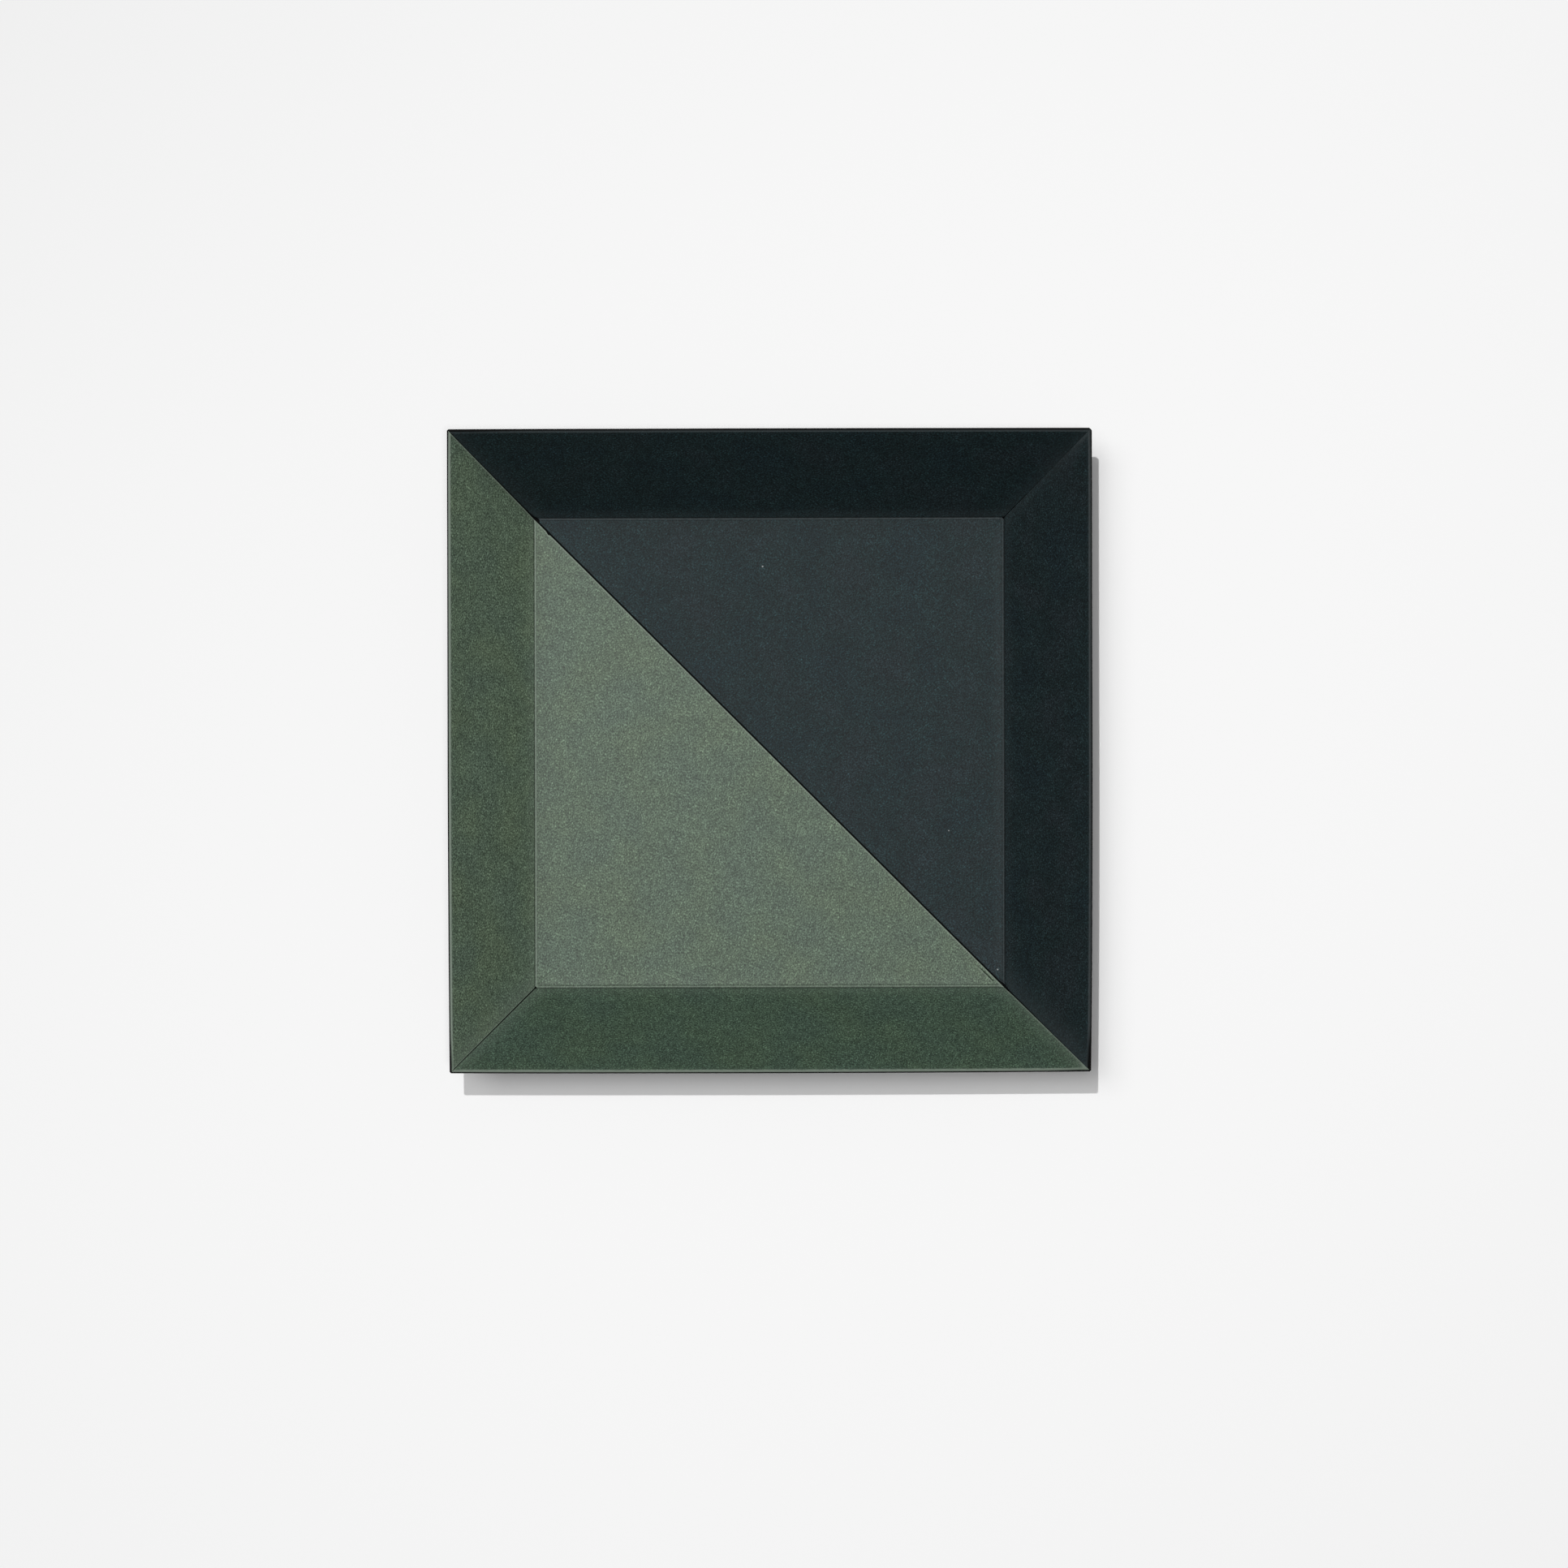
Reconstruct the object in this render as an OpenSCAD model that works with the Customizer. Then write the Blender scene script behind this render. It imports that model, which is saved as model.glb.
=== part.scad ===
// Square catch-all tray of folded card with flared walls. One outer sheet of near-black card
// is folded up on four sides and glued at its mitres. Two lining sheets, one green and one
// near-black, are folded to the same walls and glued inside it, and meet along a diagonal.
// Frame: +Z up, origin at the centre of the underside. The green half faces -X and -Y.

/* [Panels] */
// Width of the square base between its fold lines, on the upper face
base_w = 150; // [100:1:220]
// Slant length of each wall from its fold line to the rim, on the inner face
wall_l = 37.4; // [20:0.1:60]
// Slope of the walls above the base, in degrees
wall_slope = 50; // [35:1:70]

/* [Card] */
// Thickness of the outer sheet
outer_t = 0.5; // [0.3:0.05:1]
// Thickness of both lining sheets
lining_t = 0.8; // [0.5:0.05:1.2]
// Radius of each fold on the lining's inner face
fold_r = 0.3; // [0.2:0.05:1]
// Width of the crease bead that folding raises along the foot of each wall
bead_w = 0.75; // [0.4:0.05:1]
// Height of the crease bead above the base
bead_h = 0.2; // [0.05:0.05:0.35]

/* [Seams] */
// Gap between the two linings along the diagonal
seam_gap = 0.4; // [0.1:0.05:0.8]
// Slit at the mitre between the two green walls
green_slit = 0.4; // [0.1:0.05:0.8]
// Slit at the mitre between the two near-black lining walls
dark_slit = 0.15; // [0.05:0.05:0.8]
// Diameter of the relief hole where a slit runs into the folds
relief_d = 0.7; // [0.3:0.05:1.5]
// Depth of the open V along the outside of each glued mitre
mitre_v = 0.3; // [0.1:0.05:0.4]
// Leg of the blunted tip at each corner of the rim
tip_cut = 0.8; // [0.2:0.1:2]

/* [Hidden] */
$fn = 64;

total_t = outer_t + lining_t;
// Tangent length of the folds, and the axis that the bends of all three sheets share
fold_run = fold_r * tan(wall_slope / 2);
fold_u = base_w / 2 - fold_run;
fold_z = total_t + fold_r;
// Straight length of the walls, from the end of the bend to the rim
wall_run = wall_l - fold_run;
rim_w = base_w + 2 * (wall_l * cos(wall_slope) + total_t * sin(wall_slope));
tray_h = total_t + wall_l * sin(wall_slope);
// Radius of the circle that has the bead's width as its chord
bead_r = (bead_w * bead_w / 4 + bead_h * bead_h) / (2 * bead_h);
// Slope of the mitre edges, seen along the diagonal
mitre_slope = atan(tan(wall_slope) / sqrt(2));
// Overlap of cutting tools past the faces that they cut
margin = 1;

// Outline of the space above a face that lies a depth below the inner face, from the centre
// line out to one wall
module space_outline(depth, run) {
    bend_r = fold_r + depth;
    translate([0, total_t - depth])
        square([fold_u, tray_h]);
    translate([fold_u, fold_z]) {
        circle(bend_r);
        rotate(wall_slope)
            translate([0, -bend_r])
                square([run, tray_h]);
    }
}

// Section of a sheet from the centre line out to the rim, between two depths
module sheet_section(near, far) {
    difference() {
        space_outline(far, wall_run);
        space_outline(near, wall_run + margin);
    }
}

// Section of a lining: the sheet, and the bead at the foot of its wall
module lining_section() {
    sheet_section(0, lining_t);
    intersection() {
        translate([(base_w - bead_w) / 2, total_t + bead_h - bead_r])
            circle(bead_r);
        translate([0, total_t - lining_t / 2])
            square([base_w, lining_t]);
    }
}

// One quarter of a folded sheet, mitred at both ends: a wall and its triangle of the base
module quarter(direction) {
    reach = rim_w / 2 + margin;
    rotate(direction)
        intersection() {
            rotate([90, 0, 0])
                linear_extrude(2 * reach, center = true)
                    children();
            translate([0, 0, -margin])
                linear_extrude(tray_h + 2 * margin)
                    polygon([[0, 0], [reach, -reach], [reach, reach]]);
        }
}

// Upright cut of a given width that runs outwards along a diagonal
module diagonal_cut(direction, start, width) {
    rotate(direction)
        translate([start, -width / 2, -margin])
            cube([rim_w, width, tray_h + 2 * margin]);
}

// Open V along the outside of a mitre, where the square-cut edges of two walls part
module mitre_groove(direction) {
    bend_r = fold_r + total_t;
    edge_u = fold_u + bend_r * sin(wall_slope);
    edge_z = fold_z - bend_r * cos(wall_slope);
    side = mitre_v * sqrt(2);
    rotate(direction)
        translate([edge_u * sqrt(2), 0, edge_z])
            rotate([0, -mitre_slope, 0])
                rotate([45, 0, 0])
                    translate([0, -side / 2, -side / 2])
                        cube([2 * wall_l, side, side]);
}

// Everything inside the blunted tips of the rim
module inside_tips() {
    span = (rim_w - tip_cut) * sqrt(2);
    rotate(45)
        translate([-span / 2, -span / 2, -margin])
            cube([span, span, tray_h + 2 * margin]);
}

// Lining of the half towards +X and +Y: two walls, slit at the mitre between them, and the
// triangle of base that they share
module half_lining(slit) {
    corner = base_w / sqrt(2);
    difference() {
        intersection() {
            union() {
                for (direction = [0, 90])
                    quarter(direction)
                        lining_section();
            }
            inside_tips();
        }
        for (direction = [135, 315])
            diagonal_cut(direction, 0, seam_gap);
        diagonal_cut(45, corner, slit);
        rotate(45)
            translate([corner, 0, -margin])
                cylinder(d = relief_d, h = tray_h + 2 * margin);
    }
}

module outer_tray() {
    color("#1f2123")
        difference() {
            intersection() {
                union() {
                    for (direction = [0 : 90 : 270])
                        quarter(direction)
                            sheet_section(lining_t, total_t);
                }
                inside_tips();
            }
            for (direction = [45 : 90 : 315])
                mitre_groove(direction);
        }
}

module green_lining() {
    color("#616f62")
        rotate(180)
            half_lining(green_slit);
}

module dark_lining() {
    color("#30383a")
        half_lining(dark_slit);
}

outer_tray();
green_lining();
dark_lining();
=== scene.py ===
"""Square tray of folded card: an outer sheet and two linings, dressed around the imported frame."""

import math

import bmesh
import bpy
from mathutils import Euler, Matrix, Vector, noise


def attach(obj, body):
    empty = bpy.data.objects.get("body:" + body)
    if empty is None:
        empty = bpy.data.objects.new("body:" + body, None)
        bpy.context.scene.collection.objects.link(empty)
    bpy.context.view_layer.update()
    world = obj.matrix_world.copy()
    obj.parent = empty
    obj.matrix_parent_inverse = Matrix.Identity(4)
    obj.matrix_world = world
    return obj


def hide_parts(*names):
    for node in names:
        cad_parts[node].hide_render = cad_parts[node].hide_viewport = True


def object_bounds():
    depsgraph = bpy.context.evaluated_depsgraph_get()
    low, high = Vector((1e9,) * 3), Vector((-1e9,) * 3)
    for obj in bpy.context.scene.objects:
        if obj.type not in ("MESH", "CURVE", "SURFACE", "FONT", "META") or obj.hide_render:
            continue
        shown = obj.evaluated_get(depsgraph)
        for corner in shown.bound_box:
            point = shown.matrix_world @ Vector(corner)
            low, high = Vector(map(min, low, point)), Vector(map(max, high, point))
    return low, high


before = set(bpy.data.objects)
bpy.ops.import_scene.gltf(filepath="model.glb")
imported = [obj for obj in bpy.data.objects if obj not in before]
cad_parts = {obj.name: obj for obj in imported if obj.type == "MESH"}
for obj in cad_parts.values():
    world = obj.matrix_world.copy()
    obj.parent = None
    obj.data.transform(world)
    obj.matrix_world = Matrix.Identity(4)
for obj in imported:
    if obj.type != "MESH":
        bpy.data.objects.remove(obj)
cad_low, cad_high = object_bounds()

MM = 0.001
ROOT2 = math.sqrt(2)

# Card, in the sizes that the solids have
BASE_W = 150 * MM
WALL_SLOPE = math.radians(50)
OUTER_T = 0.5 * MM
LINING_T = 0.8 * MM
FOLD_R = 0.3 * MM
BEAD_W = 0.75 * MM
BEAD_H = 0.2 * MM
RELIEF_R = 0.35 * MM
MITRE_V = 0.3 * MM

# Sizes that follow from these, and distances from the centre on the flat inner face
TOTAL_T = OUTER_T + LINING_T
TRAY_H = cad_high.z
RIM_HALF = cad_high.x
BASE_HALF = BASE_W / 2
WALL_L = (TRAY_H - TOTAL_T) / math.sin(WALL_SLOPE)
FOLD_RUN = FOLD_R * math.tan(WALL_SLOPE / 2)
FOLD_U = BASE_HALF - FOLD_RUN
FOLD_Z = TOTAL_T + FOLD_R
FOLD_ARC = FOLD_R * WALL_SLOPE
WALL_RUN = WALL_L - FOLD_RUN
WALL_START = FOLD_U + FOLD_ARC
RIM_R = WALL_START + WALL_RUN
CREASE_R = FOLD_U + FOLD_ARC / 2

# Directions of the four walls, in degrees. The ends of a wall are -1 and 1, and 1 lies counter-clockwise.
RIGHT, BACK, LEFT, FRONT = 0, 90, 180, 270

# Clearance of glue between the sheets, so that their faces don't coincide
GLUE = 0.02 * MM
# Rounding of the card's cut edges
EDGE_R = 0.12 * MM
# How far the rim strays from straight along each wall, waves per metre, and how far its two ends are drawn in
WAVE = 0.03 * MM
WAVES_PER_M = 22
DRAW = {RIGHT: (0.7 * MM, 0.02 * MM), BACK: (0.08 * MM, 0.12 * MM),
        LEFT: (0.04 * MM, 0.46 * MM), FRONT: (0.22 * MM, 0.36 * MM)}
# Blunting of the rim's four tips, by whether each lies towards +X and +Y
TIP_CUT = {(True, True): 0.9 * MM, (False, True): 0.3 * MM,
           (False, False): 0.1 * MM, (True, False): 1.1 * MM}
# How far each lining wall stops short of the rim in its middle and at its two ends, and over what length
TRIM_MIDDLE = {RIGHT: 0, BACK: 0.22 * MM, LEFT: 0, FRONT: 0}
TRIM_ENDS = {RIGHT: (0.75 * MM, 0.1 * MM), BACK: (0.26 * MM, 0.45 * MM),
             LEFT: (0.1 * MM, 0.35 * MM), FRONT: (0.05 * MM, 0.2 * MM)}
TRIM_RUN = {RIGHT: 14 * MM, BACK: 26 * MM, LEFT: 14 * MM, FRONT: 14 * MM}

# Seam: its width, the share of it that is left between the walls, and the length over which it closes
SEAM_GAP = 0.5 * MM
SEAM_CLOSED = 0.5
SEAM_CLOSING_RUN = 3 * MM
# Slits at the mitres: their widths, the share of the near-black one that is left up the wall, and its closing
GREEN_SLIT = 0.28 * MM
DARK_SLIT = 0.15 * MM
DARK_SLIT_CLOSED = 0.3
SLIT_CLOSING_RUN = 12 * MM
# Corners of the near-black sheet that are cut back where the seam crosses the crease
NOTCH_INSIDE = 0.3 * MM
NOTCH_RUN = 0.7 * MM
SMALL_NOTCH = 0.3 * MM
LARGE_NOTCH = 0.6 * MM
# Nick of the knife in the green sheet's edge
NICK_U = 70.6 * MM
NICK_DEPTH = 0.35 * MM
NICK_RUN = 0.45 * MM
# Line that the knife scored in the green sheet beside the seam: its wall and end, its stretch, how its two
# ends fade, how far it lies from the edge, its width and depth, and the raised lip beyond it
SLIP_END = (FRONT, 1)
SLIP_U = (68.4 * MM, 73.4 * MM)
SLIP_FADES = (1 * MM, 0.5 * MM)
SLIP_ASIDE = 1.4 * MM
SLIP_W = 0.2 * MM
SLIP_DEPTH = 0.2 * MM
LIP_ASIDE = SLIP_ASIDE + 0.5 * MM

# Crease: the score line on the base side of the bead, and the crevice on its wall side
SCORE_AT = -BEAD_W - 0.1 * MM
SCORE_W = 0.12 * MM
SCORE_DEPTH = 0.07 * MM
CREVICE_AT = 0.25 * MM
CREVICE_W = 0.18 * MM
CREVICE_DEPTH = 0.1 * MM
# Share of the score line pressed beside each crease
SCORE = {RIGHT: 0.4, BACK: 0.2, LEFT: 0.1, FRONT: 1.0}
# Swelling of the card at the folds: its height, and how it dies away up the wall and over the base
SWELL_H = 0.25 * MM
SWELL_WALL = 3.0 * MM
SWELL_BASE = 2.5 * MM
# Share of the crease's relief that is left at the ends of a wall, and the length over which it fades
CREASE_AT_ENDS = 0.25
CREASE_FADE_RUN = 1.2 * MM

# Painted light and shade: colour of each wall against the base, scaled for how the light falls on it, and
# where it changes
WALL_PAINTED_LIGHT = {RIGHT: (1.04, 0.875, 0.875), BACK: (0.84, 0.805, 0.81),
             LEFT: (1.285, 1.245, 1.25), FRONT: (0.65, 0.72, 0.715)}
PAINTED_LIGHT_TURN = (-0.3 * MM, 0.5 * MM)

# Wear along cut ends, by wall and end, as a share of the wear along the green edge of the seam
END_WEAR = {(LEFT, 1): 0.75, (FRONT, -1): 0.2, (RIGHT, 1): 0.2,
            (BACK, -1): 0.1, (RIGHT, -1): 0, (BACK, 1): 0}
END_WEAR_W = 0.5 * MM
# Wear along the rim, and the faint rubbing beside it
RIM_WEAR_W = 0.3 * MM
RIM_RUB = 0.05
RIM_RUB_W = 1.4 * MM
# Painted highlight along the crest of each crease's bead, with some wear
CREST_HIGHLIGHT = {RIGHT: 0.75, BACK: 1.0, LEFT: 1.0, FRONT: 0.5}
CREST_HIGHLIGHT_W = 0.32 * MM
# Painted light along each fold, on the walls at their feet and on the base, between two distances from it
FOOT_PAINTED_LIGHT = {RIGHT: 0.1, BACK: 0.2, LEFT: 0.13, FRONT: 0.1}
BASE_PAINTED_LIGHT = {RIGHT: 0.13, BACK: 0, LEFT: 0, FRONT: 0.02}
FOLD_LIGHT_FULL = 1.5 * MM
FOLD_LIGHT_REACH = 5 * MM
# Walls grow faintly paler towards their ends, by wall and end: strength and reach
PLAIN_END_PALING = (0.18, 4 * MM)
END_PALING = {(LEFT, 1): (0.28, 6 * MM), (LEFT, -1): (0, 4 * MM), (RIGHT, -1): (0.4, 7 * MM)}
END_PALING_START = 2 * MM
# Worn tips of lining walls, by wall and end: reach down from the rim, reach in from the end, and strength
WORN_TIPS = {(FRONT, 1): (2.6 * MM, 1.6 * MM, 1.0), (RIGHT, 1): (5 * MM, 1.4 * MM, 1.0),
             (LEFT, 1): (2 * MM, 1 * MM, 0.4), (RIGHT, -1): (3 * MM, 1 * MM, 0.35)}
# Corners of the green base that are rubbed pale where the seam crosses the crease
WORN_CORNERS = {(LEFT, -1), (FRONT, 1)}
WORN_CORNER_AT = -0.4 * MM
WORN_CORNER_W = 0.7 * MM
WORN_CORNER_REACH = 0.9 * MM
# Wear of the lip beside the scored line, and of the outer sheet's rim
LIP_WEAR = 0.6
OUTER_RIM_WEAR = 0.15

# Painted shade in dark lines: the score, the crevice, the knife's line, and the linings' cut edges seen from
# below
SCORE_SHADE = 0.5
SCORE_SHADE_W = 0.14 * MM
CREVICE_SHADE = 0.75
CREVICE_SHADE_AT = 0.28 * MM
CREVICE_SHADE_W = 0.24 * MM
SLIP_SHADE = 0.95
CUT_SHADE = 0.85
# Ends of near-black walls that lie in the shade of the seam
DARK_SEAM_ENDS = {(RIGHT, -1), (BACK, 1)}
SEAM_SHADE = 0.7
SEAM_SHADE_W = 0.3 * MM
# Ends of walls that lie in the shade of the walls beside them: strength and reach
SHADED_END = {(LEFT, -1): (0.16, 4 * MM), (RIGHT, 1): (0.08, 50 * MM), (BACK, 1): (0.05, 50 * MM)}
# Faint shade on the base along each fold
BASE_SHADE = {RIGHT: 0, BACK: 0.12, LEFT: 0.09, FRONT: 0}
BASE_SHADE_RUN = 8 * MM
# Shade of the outer sheet's rim, and of its inner face, which shows only in the seam and the slits
OUTER_RIM_SHADE = 0.85
OUTER_INSIDE_SHADE = 0.93

# Rows of the meshes, in millimetres: places from the centre and from the rim, and where the even rows start
CENTRE_ROWS = (0, 0.3, 0.4, 0.5, 0.7, 1, 1.6)
RIM_ROWS = (1, 0.6, 0.35, 0.2, 0.12, 0.06, 0.02, 0)
BASE_ROWS_FROM = 2.5
# Steps between rows over the base, near the crease, in the crease, up the wall and near the rim
BASE_STEP = 3 * MM
NEAR_CREASE_STEP = 0.3 * MM
CREASE_STEP = 0.1 * MM
WALL_STEP = 2.4 * MM
NEAR_RIM_STEP = 0.5 * MM
# Reach of the rows in the crease to either side, near it on the base, and near the rim
CREASE_REACH = 2 * MM
NEAR_CREASE_REACH = 8 * MM
NEAR_RIM_REACH = 5 * MM
# Columns: places in from each end of a row, in millimetres, and how many parts lie between
END_COLUMNS = (0, 0.03, 0.08, 0.16, 0.3, 0.45, 0.6, 0.8, 1, 1.2, 1.4, 1.6, 1.8, 2, 2.6)
MIDDLE_COLUMNS = 52
# Merging of the quarters, and the angle from which an edge stays sharp
MERGE_WITHIN = 0.002 * MM
SLIVER = 0.001 * MM
SHARP_ANGLE = math.radians(50)
# How far the underside of a blank lies from its top in the space of the grain, so that the two differ
UNDERSIDE_APART = 0.5


def smooth(low, high, x):
    """0 at low, 1 at high, with a soft change between. Low may be the larger of the two."""
    t = min(max((x - low) / (high - low), 0), 1)
    return t * t * (3 - 2 * t)


def hump(x, centre, width):
    """A bell of height 1."""
    return math.exp(-(((x - centre) / width) ** 2))


def turned(direction, u, v, z):
    """A place u outwards and v counter-clockwise of a wall's middle line, in the frame of the tray."""
    a = math.radians(direction)
    return Vector((u * math.cos(a) - v * math.sin(a), u * math.sin(a) + v * math.cos(a), z))


def bend_at(r):
    """Angle that the fold has turned through at a flat distance from the centre."""
    return min(max((r - FOLD_U) / FOLD_R, 0), WALL_SLOPE)


def fold(r, depth):
    """Where a flat distance from the centre and a depth below the inner face lie in a wall's section."""
    bend = bend_at(r)
    run = r - FOLD_U - FOLD_R * bend if r > FOLD_U else 0
    reach = FOLD_R + depth
    u = min(r, FOLD_U) + reach * math.sin(bend) + run * math.cos(bend)
    z = FOLD_Z - reach * math.cos(bend) + run * math.sin(bend)
    return u, z


def spaced(low, high, step):
    """Even places from low to just before high, about a step apart."""
    count = max(1, round((high - low) / step))
    return [low + (high - low) * i / count for i in range(count)]


def row_places():
    """Flat distances of the rows, from the centre to the rim, close together at the crease and the rim."""
    crease_low = CREASE_R - CREASE_REACH
    crease_high = CREASE_R + CREASE_REACH
    near_crease = crease_low - NEAR_CREASE_REACH
    near_rim = RIM_R - NEAR_RIM_REACH
    rows = [x * MM for x in CENTRE_ROWS]
    rows += spaced(BASE_ROWS_FROM * MM, near_crease, BASE_STEP)
    rows += spaced(near_crease, crease_low, NEAR_CREASE_STEP)
    rows += spaced(crease_low, crease_high, CREASE_STEP)
    rows += spaced(crease_high, near_rim, WALL_STEP)
    rows += spaced(near_rim, RIM_R - RIM_ROWS[0] * MM, NEAR_RIM_STEP)
    rows += [RIM_R - x * MM for x in RIM_ROWS]
    return rows


def column_places(half_minus, half_plus):
    """Places across one row, each with its distance to the nearer end and which end that is.

    They lie close together in at most a quarter of the row at each end."""
    width = half_minus + half_plus
    scale = min(1, width / (4 * END_COLUMNS[-1] * MM))
    steps = [x * MM * scale for x in END_COLUMNS]
    inner_low = -half_minus + steps[-1]
    inner = half_plus - steps[-1] - inner_low
    places = [(-half_minus + x, x, -1) for x in steps]
    for i in range(1, MIDDLE_COLUMNS):
        v = inner_low + inner * i / MIDDLE_COLUMNS
        near_edge = min(v + half_minus, half_plus - v)
        places.append((v, near_edge, -1 if v < 0 else 1))
    places += [(half_plus - x, x, 1) for x in reversed(steps)]
    return places


def joined(u):
    """No gap: the quarters of a sheet run into each other."""
    return 0


def seam(u):
    """Half the gap between the linings, which closes up between the walls."""
    return SEAM_GAP / 2 * (1 - (1 - SEAM_CLOSED) * smooth(BASE_HALF, BASE_HALF + SEAM_CLOSING_RUN, u))


def nicked_seam(u):
    """The seam with a nick where the knife slipped."""
    return seam(u) + NICK_DEPTH * hump(u, NICK_U, NICK_RUN)


def notched_seam(depth):
    """The seam with the corner of the sheet cut back at the crease."""
    def half_gap(u):
        return seam(u) + depth * hump(u, BASE_HALF - NOTCH_INSIDE, NOTCH_RUN)
    return half_gap


def slit(width, left_open):
    """Half gap of a slit along a mitre, from a round relief at the corner of the folds."""
    def half_gap(u):
        along = (u - BASE_HALF) * ROOT2
        hole = math.sqrt(max(RELIEF_R ** 2 - along ** 2, 0))
        half = width / 2 * (1 - (1 - left_open) * smooth(0, SLIT_CLOSING_RUN, along))
        return max(hole, half) if along > 0 else hole
    return half_gap


def mitre_groove(u):
    """Half width of the open V outside a mitre, where the outer sheet's square-cut edges part."""
    edge_u, _ = fold(WALL_START, TOTAL_T)
    return MITRE_V * smooth(edge_u, edge_u + MM, u)


def edge_rounding(distance):
    """Depth that the top face loses to its rounded edge, at a distance in from it."""
    if distance >= EDGE_R:
        return 0
    return EDGE_R - math.sqrt(EDGE_R ** 2 - (EDGE_R - distance) ** 2)


def crease_relief(direction, r, fade):
    """Height of the bead and depth of the pressed lines beside it, which fade towards a wall's ends."""
    x = r - CREASE_R
    bead = max(0, 1 - ((2 * x + BEAD_W) / BEAD_W) ** 2) * BEAD_H
    score = SCORE[direction] * SCORE_DEPTH * hump(x, SCORE_AT, SCORE_W)
    crevice = CREVICE_DEPTH * hump(x, CREVICE_AT, CREVICE_W)
    swell = SWELL_H * math.exp(-x / SWELL_WALL if x > 0 else x / SWELL_BASE)
    left = CREASE_AT_ENDS + (1 - CREASE_AT_ENDS) * fade
    return (bead + swell - crevice) * left - score * fade


def slip(r, near_edge, aside):
    """Share of the line that the knife scored beside the seam, or of its lip."""
    start, stop = SLIP_U
    along = smooth(start, start + SLIP_FADES[0], r) * smooth(stop, stop - SLIP_FADES[1], r)
    return along * hump(near_edge, aside, SLIP_W)


def in_seam(direction, r, near_edge, cut):
    """Share of the seam's shade at the end of a near-black wall."""
    if (direction, cut) in DARK_SEAM_ENDS and r > CREASE_R:
        return hump(near_edge, 0, SEAM_SHADE_W)
    return 0


def rubbing_and_painted_light(direction, end, r, near_edge):
    """Faint paling of a lining: from use along the rim, painted light along its folds, and towards the ends
    of its walls.
    """
    x = r - CREASE_R
    rubbed_and_lit = RIM_RUB * hump(RIM_R - r, 0, RIM_RUB_W)
    if x > 0:
        # Painted light on the wall at its foot
        rubbed_and_lit += FOOT_PAINTED_LIGHT[direction] * smooth(FOLD_LIGHT_REACH, FOLD_LIGHT_FULL, x)
        strength, reach = END_PALING.get((direction, end), PLAIN_END_PALING)
        return rubbed_and_lit + strength * smooth(0, END_PALING_START, x) * hump(near_edge, 0, reach)
    # Painted light on the base along the fold
    along = smooth(0, FOLD_LIGHT_REACH, near_edge)
    return rubbed_and_lit + BASE_PAINTED_LIGHT[direction] * smooth(-FOLD_LIGHT_REACH, -FOLD_LIGHT_FULL, x) * along


def lining_wear_and_light(direction, end, r, near_edge, cut):
    """How far a lining is made pale, by handling and by painted light along its folds: 0 for the card's own
    colour, 1 for the pale one.
    """
    x = r - CREASE_R
    edge = hump(near_edge, 0, END_WEAR_W) * abs(cut) * END_WEAR.get((direction, cut), 1)
    rim = hump(RIM_R - r, 0, RIM_WEAR_W)
    rubbed_and_lit = rubbing_and_painted_light(direction, end, r, near_edge) * (1 - in_seam(direction, r, near_edge, cut))
    # Painted highlight on the bead's crest, with some wear
    crest_highlight = CREST_HIGHLIGHT[direction] * hump(x, -BEAD_W / 2, CREST_HIGHLIGHT_W)
    tip = 0
    if (direction, cut) in WORN_TIPS:
        reach, aside, strength = WORN_TIPS[direction, cut]
        tip = strength * hump(RIM_R - r, 0, reach) * hump(near_edge, 0, aside)
    corner = 0
    if (direction, cut) in WORN_CORNERS:
        corner = hump(x, WORN_CORNER_AT, WORN_CORNER_W) * hump(near_edge, 0, WORN_CORNER_REACH)
    lip = 0
    if (direction, cut) == SLIP_END:
        lip = LIP_WEAR * slip(r, near_edge, LIP_ASIDE)
    whole = 1
    for pale in (edge, rim, rubbed_and_lit, crest_highlight, tip, corner, lip):
        whole *= 1 - pale
    return 1 - whole


def lining_shade(direction, end, r, near_edge, cut, face):
    """How far a lining is darkened in its pressed lines and beside gaps and folds."""
    x = r - CREASE_R
    score = SCORE[direction] * hump(x, SCORE_AT, SCORE_SHADE_W)
    crevice = hump(x, CREVICE_SHADE_AT, CREVICE_SHADE_W)
    dimmed = 0
    if x < 0:
        along = smooth(0, BASE_SHADE_RUN, near_edge)
        dimmed = BASE_SHADE[direction] * smooth(-BASE_SHADE_RUN, 0, x) * along
    elif (direction, end) in SHADED_END:
        strength, reach = SHADED_END[direction, end]
        dimmed = strength * hump(near_edge, 0, reach)
    scored = 0
    if (direction, cut) == SLIP_END:
        scored = slip(r, near_edge, SLIP_ASIDE)
    beside_seam = SEAM_SHADE * in_seam(direction, r, near_edge, cut)
    below = CUT_SHADE * face * abs(cut)
    return max(SCORE_SHADE * score, CREVICE_SHADE * crevice, SLIP_SHADE * scored, beside_seam, dimmed, below)


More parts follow.
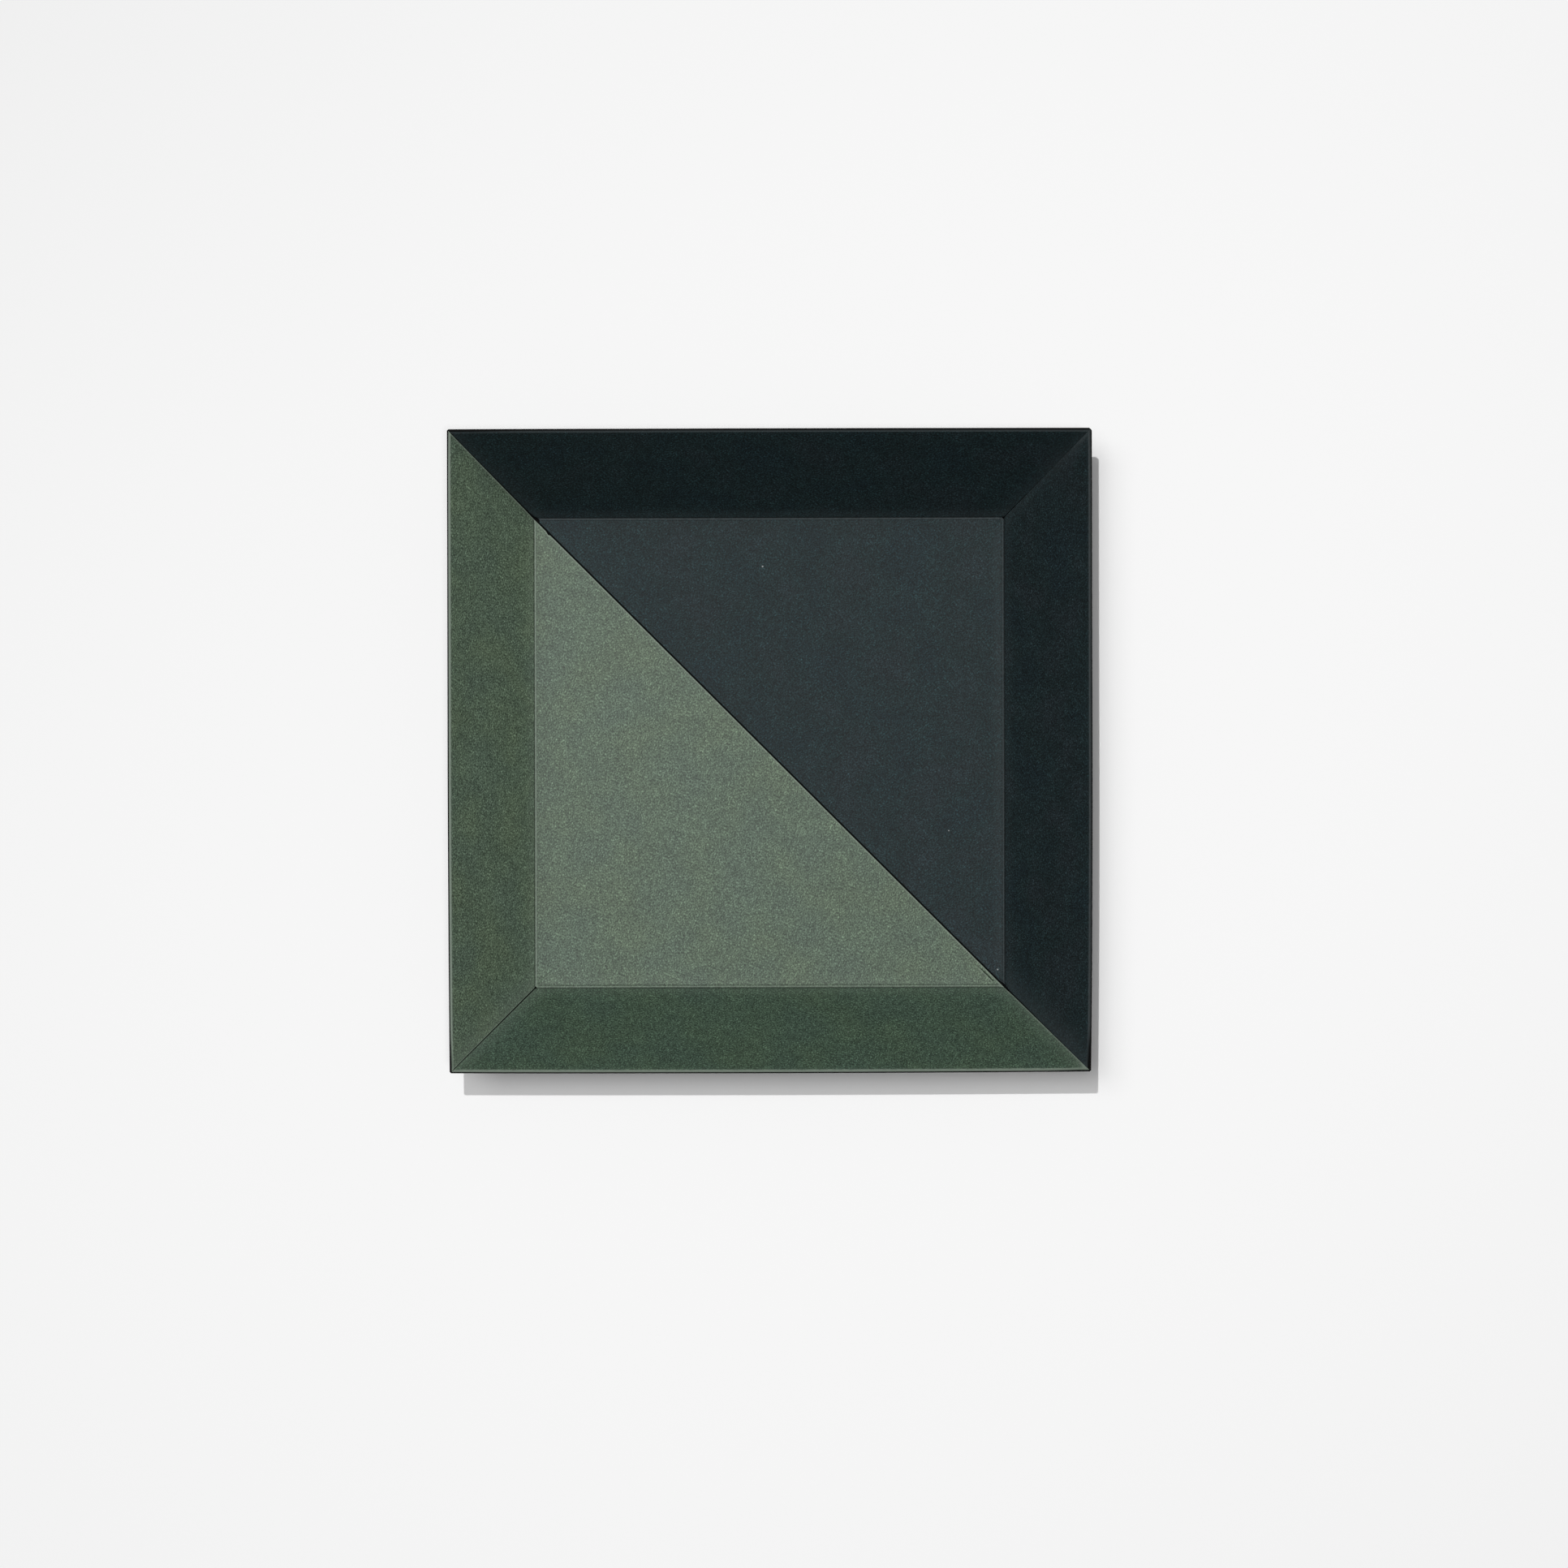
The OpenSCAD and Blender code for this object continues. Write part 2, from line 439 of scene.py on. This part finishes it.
class Sheet:
    """One sheet of card, gathered quarter by quarter into a closed mesh."""

    def __init__(self, name, near, far, lining):
        self.name, self.near, self.far, self.lining = name, near, far, lining
        self.bm = bmesh.new()
        self.blank = self.bm.verts.layers.float_vector.new("blank")
        self.wear_and_light = self.bm.verts.layers.float.new("wear_and_light")
        self.shade = self.bm.verts.layers.float.new("shade")
        self.painted_light = self.bm.verts.layers.float_vector.new("painted_light")

    def place(self, direction, r, v, half, depth):
        """The folded place of a point of the blank, with the strays of a hand-folded wall."""
        up = smooth(0, WALL_RUN, r - WALL_START) if r > WALL_START else 0
        u, z = fold(r, depth)
        wave = noise.noise(turned(direction, r, v, 0) * WAVES_PER_M + Vector((0, 0, direction)))
        share = v / max(half, MM)
        end = 0 if v < 0 else 1
        beside = (direction + (90 if end else 270)) % 360
        u -= up * (WAVE * (1 + wave) * (1 - share ** 2) + DRAW[direction][end] * share ** 2)
        v -= up * DRAW[beside][1 - end] * share
        return turned(direction, u, v, z)

    def add_vert(self, direction, r, v, half, depth, near_edge, cut, face):
        """One vertex of the top face (face 0) or the underside (face 1). Cut names the end that is cut."""
        vert = self.bm.verts.new(self.place(direction, r, v, half, depth))
        around = bend_at(r) * (self.far if face else self.near)
        vert[self.blank] = turned(direction, r + around, v, face * UNDERSIDE_APART)
        painted_light = Vector((1, 1, 1))
        if self.lining:
            end = -1 if v < 0 else 1
            vert[self.wear_and_light] = lining_wear_and_light(direction, end, r, near_edge, cut)
            vert[self.shade] = lining_shade(direction, end, r, near_edge, cut, face)
            # Painted light and shade: the wall's colour is scaled for how the light falls on it
            painted_light = painted_light.lerp(Vector(WALL_PAINTED_LIGHT[direction]), smooth(*PAINTED_LIGHT_TURN, r - CREASE_R))
        else:
            rim = hump(RIM_R - r, 0, RIM_WEAR_W)
            vert[self.wear_and_light] = OUTER_RIM_WEAR * rim
            vert[self.shade] = max(OUTER_RIM_SHADE * rim, OUTER_INSIDE_SHADE * (1 - face))
        vert[self.painted_light] = painted_light
        return vert

    def trim(self, direction, end, near_edge):
        """How far a lining wall stops short of the rim."""
        if not self.lining:
            return 0
        middle = TRIM_MIDDLE[direction]
        at_end = TRIM_ENDS[direction][0 if end < 0 else 1]
        return middle + (at_end - middle) * smooth(TRIM_RUN[direction], 0, near_edge)

    def top_relief(self, direction, r, end, near_edge, cut):
        """Depth that the top face loses to rounded edges, and gains back as the crease bead."""
        depth = edge_rounding(RIM_R - r)
        if cut:
            depth = min(depth + edge_rounding(near_edge), EDGE_R)
        if self.lining:
            fade = smooth(0, CREASE_FADE_RUN, near_edge)
            depth -= crease_relief(direction, r, fade)
        if self.lining and (direction, end) == SLIP_END:
            depth += SLIP_DEPTH * slip(r, near_edge, SLIP_ASIDE)
        return depth

    def add_row(self, direction, row, u, end_gaps, cut_gaps, face):
        """One row of vertices across a quarter, on the top face (face 0) or the underside (face 1)."""
        line = []
        up = max(0, row - WALL_START) / WALL_RUN
        for v, near_edge, end in column_places(u - end_gaps[0], u - end_gaps[1]):
            cut = int(cut_gaps[0 if end < 0 else 1] > 0)
            r = row - up * self.trim(direction, end, near_edge)
            depth = self.far
            if face == 0:
                depth = self.near + self.top_relief(direction, row, end, near_edge, cut)
            line.append(self.add_vert(direction, r, v, u, depth, near_edge, cut * end, face))
        return line

    def add_quarter(self, direction, minus, plus, groove=None):
        """A wall and its triangle of the base. Each end is cut by a gap, or by a groove from below."""
        tops, unders, ends, cuts = [], [], [], []
        rows = row_places()
        rows[0] = (minus(0) + plus(0)) * ROOT2 / 2
        for row in rows:
            u_top, _ = fold(row, self.near + edge_rounding(RIM_R - row))
            u_under, _ = fold(row, self.far)
            gaps = [gap(u_top) * ROOT2 for gap in (minus, plus)]
            under_gaps = [groove(u_top) * ROOT2] * 2 if groove else gaps
            cuts.append([gap > 0 for gap in under_gaps])
            tops.append(self.add_row(direction, row, u_top, gaps, gaps, 0))
            unders.append(self.add_row(direction, row, u_under, under_gaps, gaps, 1))
            if groove:
                ends.append(self.groove_floor(direction, row, groove(u_top)))
            else:
                ends.append((tops[-1][0], tops[-1][-1]))
        self.skin(tops, unders, ends, cuts)

    def groove_floor(self, direction, r, groove):
        """The two vertices at the bottom of the grooves in one row's ends, as deep as they are half wide."""
        depth = self.far - groove
        u, _ = fold(r, depth)
        return [self.add_vert(direction, r, end * u, u, depth, 0, 0, 1) for end in (-1, 1)]

    def skin(self, tops, unders, ends, cuts):
        """Faces over both sides, the rim and the cut ends, which reach up from the underside."""
        face = self.bm.faces.new
        count = len(tops[0])
        for i in range(len(tops) - 1):
            for j in range(count - 1):
                face((tops[i][j], tops[i + 1][j], tops[i + 1][j + 1], tops[i][j + 1]))
                face((unders[i][j], unders[i][j + 1], unders[i + 1][j + 1], unders[i + 1][j]))
            if any(cut[0] for cut in cuts[i:i + 2]):
                face((ends[i][0], unders[i][0], unders[i + 1][0], ends[i + 1][0]))
            if any(cut[1] for cut in cuts[i:i + 2]):
                face((ends[i][1], ends[i + 1][1], unders[i + 1][-1], unders[i][-1]))
        for j in range(count - 1):
            face((tops[-1][j], unders[-1][j], unders[-1][j + 1], tops[-1][j + 1]))
        for end, corner in ((0, 0), (1, -1)):
            if ends[-1][end] is not tops[-1][corner]:
                face((tops[-1][corner], ends[-1][end], unders[-1][corner]))

    def blunt_tips(self):
        """Takes the point off each corner of the rim."""
        for vert in self.bm.verts:
            x, y = vert.co.x, vert.co.y
            excess = abs(x) + abs(y) - (2 * RIM_HALF - TIP_CUT[x > 0, y > 0])
            if excess > 0:
                vert.co.x -= math.copysign(excess / 2, x)
                vert.co.y -= math.copysign(excess / 2, y)

    def finish(self, material, node):
        """Merges the quarters, and hands the mesh over as the piece that stands for a node."""
        self.blunt_tips()
        bmesh.ops.remove_doubles(self.bm, verts=self.bm.verts, dist=MERGE_WITHIN)
        bmesh.ops.dissolve_degenerate(self.bm, edges=self.bm.edges, dist=SLIVER)
        bmesh.ops.recalc_face_normals(self.bm, faces=self.bm.faces)
        mesh = bpy.data.meshes.new(self.name)
        self.bm.to_mesh(mesh)
        self.bm.free()
        mesh.shade_smooth()
        mesh.set_sharp_from_angle(angle=SHARP_ANGLE)
        mesh.materials.append(material)
        piece = bpy.data.objects.new(self.name, mesh)
        bpy.context.scene.collection.objects.link(piece)
        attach(piece, "root")
        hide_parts(node)


class Nodes:
    """Short hands for building a material's nodes."""

    def __init__(self, name):
        self.material = bpy.data.materials.new(name)
        self.material.use_nodes = True
        self.tree = self.material.node_tree
        self.shader = self.tree.nodes["Principled BSDF"]

    def put(self, kind, settings=None, **inputs):
        """A new node. An input is given by its name, or by an underscore and its number."""
        node = self.tree.nodes.new(kind)
        for key, value in (settings or {}).items():
            setattr(node, key, value)
        for key, value in inputs.items():
            self.feed(node.inputs[int(key[1:]) if key[1:].isdigit() else key], value)
        return node

    def feed(self, socket, value):
        """Links an output to a socket, or sets the socket to a constant."""
        if isinstance(value, bpy.types.NodeSocket):
            self.tree.links.new(value, socket)
        else:
            socket.default_value = value

    def attribute(self, name, output):
        return self.put("ShaderNodeAttribute", {"attribute_name": name}).outputs[output]

    def math(self, operation, a, b):
        return self.put("ShaderNodeMath", {"operation": operation}, _0=a, _1=b).outputs[0]

    def vector_math(self, operation, a, b):
        return self.put("ShaderNodeVectorMath", {"operation": operation}, _0=a, _1=b)

    def noise(self, vector, scale, detail, turn=0.0, stretch=1.0):
        """Noise on the flat blank, drawn out along the way that the fibres lie."""
        mapping = self.put("ShaderNodeMapping", {"vector_type": "TEXTURE"}, Vector=vector,
                           Rotation=(0, 0, turn), Scale=(1, stretch, 1))
        texture = self.put("ShaderNodeTexNoise", Vector=mapping.outputs[0], Scale=scale, Detail=detail)
        return texture.outputs["Fac"]

    def spread(self, value, low, high, to_low, to_high):
        """Maps one range of values to another, and holds it there beyond its ends."""
        node = self.put("ShaderNodeMapRange", {"clamp": True},
                        _0=value, _1=low, _2=high, _3=to_low, _4=to_high)
        return node.outputs[0]

    def mix(self, factor, a, b):
        node = self.put("ShaderNodeMix", {"data_type": "RGBA"}, _0=factor, _6=a, _7=b)
        return node.outputs[2]

    def scale(self, colour, value):
        node = self.put("ShaderNodeVectorMath", {"operation": "SCALE"}, _0=colour, Scale=value)
        return node.outputs[0]


def rgba(colour):
    return (*colour, 1.0)


# Clouds of tint in the card, and where its first and last tints lie in them
CLOUDS_PER_M = 55
FIRST_TINT, LAST_TINT = 0.36, 0.64
# Grain: short felt, and two lays of longer fibres that cross at a small angle, with the share of each
GRAIN_DETAIL = 2.0
FELT_PER_M = 2400
FELT_STRETCH = 1.4
FELT_SHARE = 0.70
FIBRES_PER_M = 900
FIBRE_STRETCH = 2.6
FIBRE_CROSSING = 0.3
FIBRE_SHARE = 0.15
GRAIN_RELIEF = 0.25 * MM
# Mottling between the clouds and the grain
PATCHES_PER_M = 110
PATCH_DETAIL = 3.0
# Pale flecks: cells of which some are chosen, their size as a share of a cell, and their strength
FLECKS_PER_M = 210
FLECK_CHOSEN = (0.62, 0.72)
FLECK_SIZE = (0.02, 0.06)
FLECK_STRENGTH = 0.7
# Unevenness of the wear and of the painted light
SCUFFS_PER_M = 700
SCUFF_RANGE = (0.3, 0.7)
SCUFF_LEAST = 0.55
# Specks of dust on the near-black base: place and radius, and the share of the radius that is solid
DUST_COLOUR = (0.26, 0.28, 0.28)
DUST_CORE = 0.4
DUST = [((-2.1 * MM, 59.5 * MM, 0), 0.36 * MM),
        ((57.2 * MM, -25 * MM, 0), 0.26 * MM),
        ((72.7 * MM, -69.4 * MM, 0), 0.33 * MM)]

GREEN_TINTS = [(0.0673, 0.1004, 0.0717), (0.0690, 0.1024, 0.0694), (0.0709, 0.1029, 0.0668)]
GREEN_PALE = (0.196, 0.240, 0.197)
DARK_TINTS = [(0.0060, 0.0155, 0.0185), (0.0063, 0.0159, 0.0176), (0.0076, 0.0154, 0.0179)]
DARK_PALE = (0.040, 0.050, 0.053)
OUTER_TINTS = [(0.0175, 0.0190, 0.0200), (0.0182, 0.0193, 0.0197), (0.0190, 0.0193, 0.0194)]
OUTER_WORN = (0.04, 0.04, 0.04)


def tint_clouds(n, blank, tints):
    """The card's own colour, which drifts between three tints."""
    tint = n.put("ShaderNodeValToRGB", Fac=n.noise(blank, CLOUDS_PER_M, GRAIN_DETAIL))
    first, last = tint.color_ramp.elements
    first.position, first.color = FIRST_TINT, rgba(tints[0])
    last.position, last.color = LAST_TINT, rgba(tints[2])
    middle = tint.color_ramp.elements.new(0.5)
    middle.color = rgba(tints[1])
    return tint.outputs["Color"]


def felt_grain(n, blank, lie):
    """Felt and fibres, which lie mostly one way."""
    felt = n.noise(blank, FELT_PER_M, GRAIN_DETAIL, lie, FELT_STRETCH)
    fibres = n.noise(blank, FIBRES_PER_M, GRAIN_DETAIL, lie + FIBRE_CROSSING, FIBRE_STRETCH)
    cross = n.noise(blank, FIBRES_PER_M, GRAIN_DETAIL, lie - FIBRE_CROSSING, FIBRE_STRETCH)
    both = n.math("MULTIPLY", n.math("ADD", fibres, cross), FIBRE_SHARE)
    return n.math("ADD", n.math("MULTIPLY", felt, FELT_SHARE), both)


def card_material(name, tints, pale, lie, grain, mottle, tooth, roughness, specular, specks=()):
    """Uncoated felt-marked card, with pale edges from handling, specks of dust, and painted light and shade
    carried by the mesh.

    Lie is the angle of its fibres, grain and mottle are the contrast of its fine and coarse unevenness,
    and tooth is the relief of its grain."""
    n = Nodes(name)
    blank = n.attribute("blank", "Vector")
    tint = tint_clouds(n, blank, tints)
    felt = felt_grain(n, blank, lie)
    patches = n.noise(blank, PATCHES_PER_M, PATCH_DETAIL)
    uneven = n.math("ADD", n.math("MULTIPLY", felt, grain), n.math("MULTIPLY", patches, mottle))
    value = n.math("POWER", math.e, n.math("SUBTRACT", uneven, (grain + mottle) / 2))
    shade = n.spread(n.attribute("shade", "Fac"), 0, 1, 1, 0)
    colour = n.scale(tint, n.math("MULTIPLY", value, shade))
    # Painted light and shade of each wall, carried by the mesh
    colour = n.vector_math("MULTIPLY", colour, n.attribute("painted_light", "Vector")).outputs[0]
    cells = n.put("ShaderNodeTexVoronoi", Vector=blank, Scale=FLECKS_PER_M)
    chosen = n.spread(cells.outputs["Color"], *FLECK_CHOSEN, 0, 1)
    fleck = n.spread(cells.outputs["Distance"], *FLECK_SIZE, FLECK_STRENGTH, 0)
    colour = n.mix(n.math("MULTIPLY", chosen, fleck), colour, rgba(pale))
    for place, radius in specks:
        distance = n.vector_math("DISTANCE", blank, place).outputs["Value"]
        dust = n.spread(distance, radius * DUST_CORE, radius, 1, 0)
        colour = n.mix(dust, colour, rgba(DUST_COLOUR))
    scuff = n.spread(n.noise(blank, SCUFFS_PER_M, GRAIN_DETAIL), *SCUFF_RANGE, SCUFF_LEAST, 1)
    wear_and_light = n.math("MULTIPLY", n.attribute("wear_and_light", "Fac"), scuff)
    colour = n.mix(wear_and_light, colour, rgba(pale))
    bump = n.put("ShaderNodeBump", Height=felt, Strength=tooth, Distance=GRAIN_RELIEF)
    n.feed(n.shader.inputs["Base Color"], colour)
    n.feed(n.shader.inputs["Normal"], bump.outputs[0])
    n.feed(n.shader.inputs["Roughness"], roughness)
    n.feed(n.shader.inputs["Specular IOR Level"], specular)
    return n.material


green_card = card_material("green_card", GREEN_TINTS, GREEN_PALE, lie=-0.4, grain=6.0, mottle=0.45,
                           tooth=0.29, roughness=0.58, specular=0.34)
dark_card = card_material("dark_card", DARK_TINTS, DARK_PALE, lie=-0.9, grain=7.8, mottle=0.8,
                          tooth=0.8, roughness=0.66, specular=0.248, specks=DUST)
outer_card = card_material("outer_card", OUTER_TINTS, OUTER_WORN, lie=0, grain=6.0, mottle=0.5,
                           tooth=0.6, roughness=0.8, specular=0.06)

# The outer sheet: four walls glued at their mitres
outer = Sheet("outer_sheet", LINING_T, TOTAL_T, False)
for wall in (RIGHT, BACK, LEFT, FRONT):
    outer.add_quarter(wall, joined, joined, mitre_groove)
outer.finish(outer_card, "outer_tray")

# The green lining: the left and front walls, and their half of the base
green_mitre = slit(GREEN_SLIT, 1)
green = Sheet("green_sheet", 0, LINING_T - GLUE, True)
green.add_quarter(LEFT, nicked_seam, green_mitre)
green.add_quarter(FRONT, green_mitre, seam)
green.finish(green_card, "green_lining")

# The near-black lining: the right and back walls, and their half of the base
dark_mitre = slit(DARK_SLIT, DARK_SLIT_CLOSED)
dark = Sheet("dark_sheet", 0, LINING_T - GLUE, True)
dark.add_quarter(RIGHT, notched_seam(SMALL_NOTCH), dark_mitre)
dark.add_quarter(BACK, dark_mitre, notched_seam(LARGE_NOTCH))
dark.finish(dark_card, "dark_lining")

# Floor, just below the tray
FLOOR_HALF = 3.0
FLOOR_DROP = 0.1 * MM
FLOOR_CORNERS = ((-1, -1), (1, -1), (1, 1), (-1, 1))
FLOOR_ROUGHNESS = 0.9
# Its white, from where the lamps are nearest to where they are farthest, which evens out their light
FLOOR_BRIGHTEST = (-0.44, 0.5, 0)
FLOOR_RUN = 1.02
FLOOR_WHITE = (0.702, 0.98)


def floor_material():
    """Matt white that grows whiter away from the lamps."""
    n = Nodes("floor_white")
    place = n.put("ShaderNodeNewGeometry").outputs["Position"]
    distance = n.vector_math("DISTANCE", place, FLOOR_BRIGHTEST).outputs["Value"]
    n.feed(n.shader.inputs["Base Color"], n.spread(distance, 0, FLOOR_RUN, *FLOOR_WHITE))
    n.feed(n.shader.inputs["Roughness"], FLOOR_ROUGHNESS)
    n.feed(n.shader.inputs["Specular IOR Level"], 0.0)
    return n.material


floor_mesh = bpy.data.meshes.new("floor")
corners = [(x * FLOOR_HALF, y * FLOOR_HALF, -FLOOR_DROP) for x, y in FLOOR_CORNERS]
floor_mesh.from_pydata(corners, [], [(0, 1, 2, 3)])
floor_mesh.materials.append(floor_material())
floor = bpy.data.objects.new("floor", floor_mesh)
bpy.context.scene.collection.objects.link(floor)

# Camera, straight above and a little off the tray's centre, which the shift brings back into its place
CAMERA_AT = Vector((-5.2, -20.8, 952)) * MM
CAMERA_SHIFT = (0.0195, 0.0216)
CAMERA_ROLL = math.radians(-0.13)
SENSOR_MM = 36
IMAGE_PX = 1932
FOCAL_PX = 3667
camera_data = bpy.data.cameras.new("camera")
camera_data.sensor_width = SENSOR_MM
camera_data.lens = FOCAL_PX / IMAGE_PX * SENSOR_MM
camera_data.shift_x, camera_data.shift_y = CAMERA_SHIFT
camera = bpy.data.objects.new("camera", camera_data)
camera.location = CAMERA_AT
camera.rotation_euler = Euler((0, 0, CAMERA_ROLL))
bpy.context.scene.collection.objects.link(camera)
bpy.context.scene.camera = camera


def area_light(name, place, size, power):
    """A round lamp that faces the tray: its place and size in metres, and its power in watts."""
    data = bpy.data.lights.new(name, "AREA")
    data.shape = "DISK"
    data.size = size
    data.energy = power
    lamp = bpy.data.objects.new(name, data)
    lamp.location = place
    lamp.rotation_euler = (-Vector(place)).to_track_quat("-Z", "Y").to_euler()
    bpy.context.scene.collection.objects.link(lamp)


# A small hard lamp for the sharp shadow, and three soft ones
area_light("key", (-0.178, 0.379, 1.5), 0.015, 11.8)
area_light("softbox", (-0.3, 0.14, 2.2), 0.78, 13.1)
area_light("side", (-0.79, 0.42, 2.2), 0.75, 7.9)
area_light("top", (0.1, -0.13, 1.6), 0.16, 3.4)

WORLD_STRENGTH = 0.07
world = bpy.data.worlds.new("world")
world.use_nodes = True
background = world.node_tree.nodes["Background"]
background.inputs["Color"].default_value = (1, 1, 1, 1)
background.inputs["Strength"].default_value = WORLD_STRENGTH
bpy.context.scene.world = world

bpy.context.scene.view_settings.view_transform = "Standard"
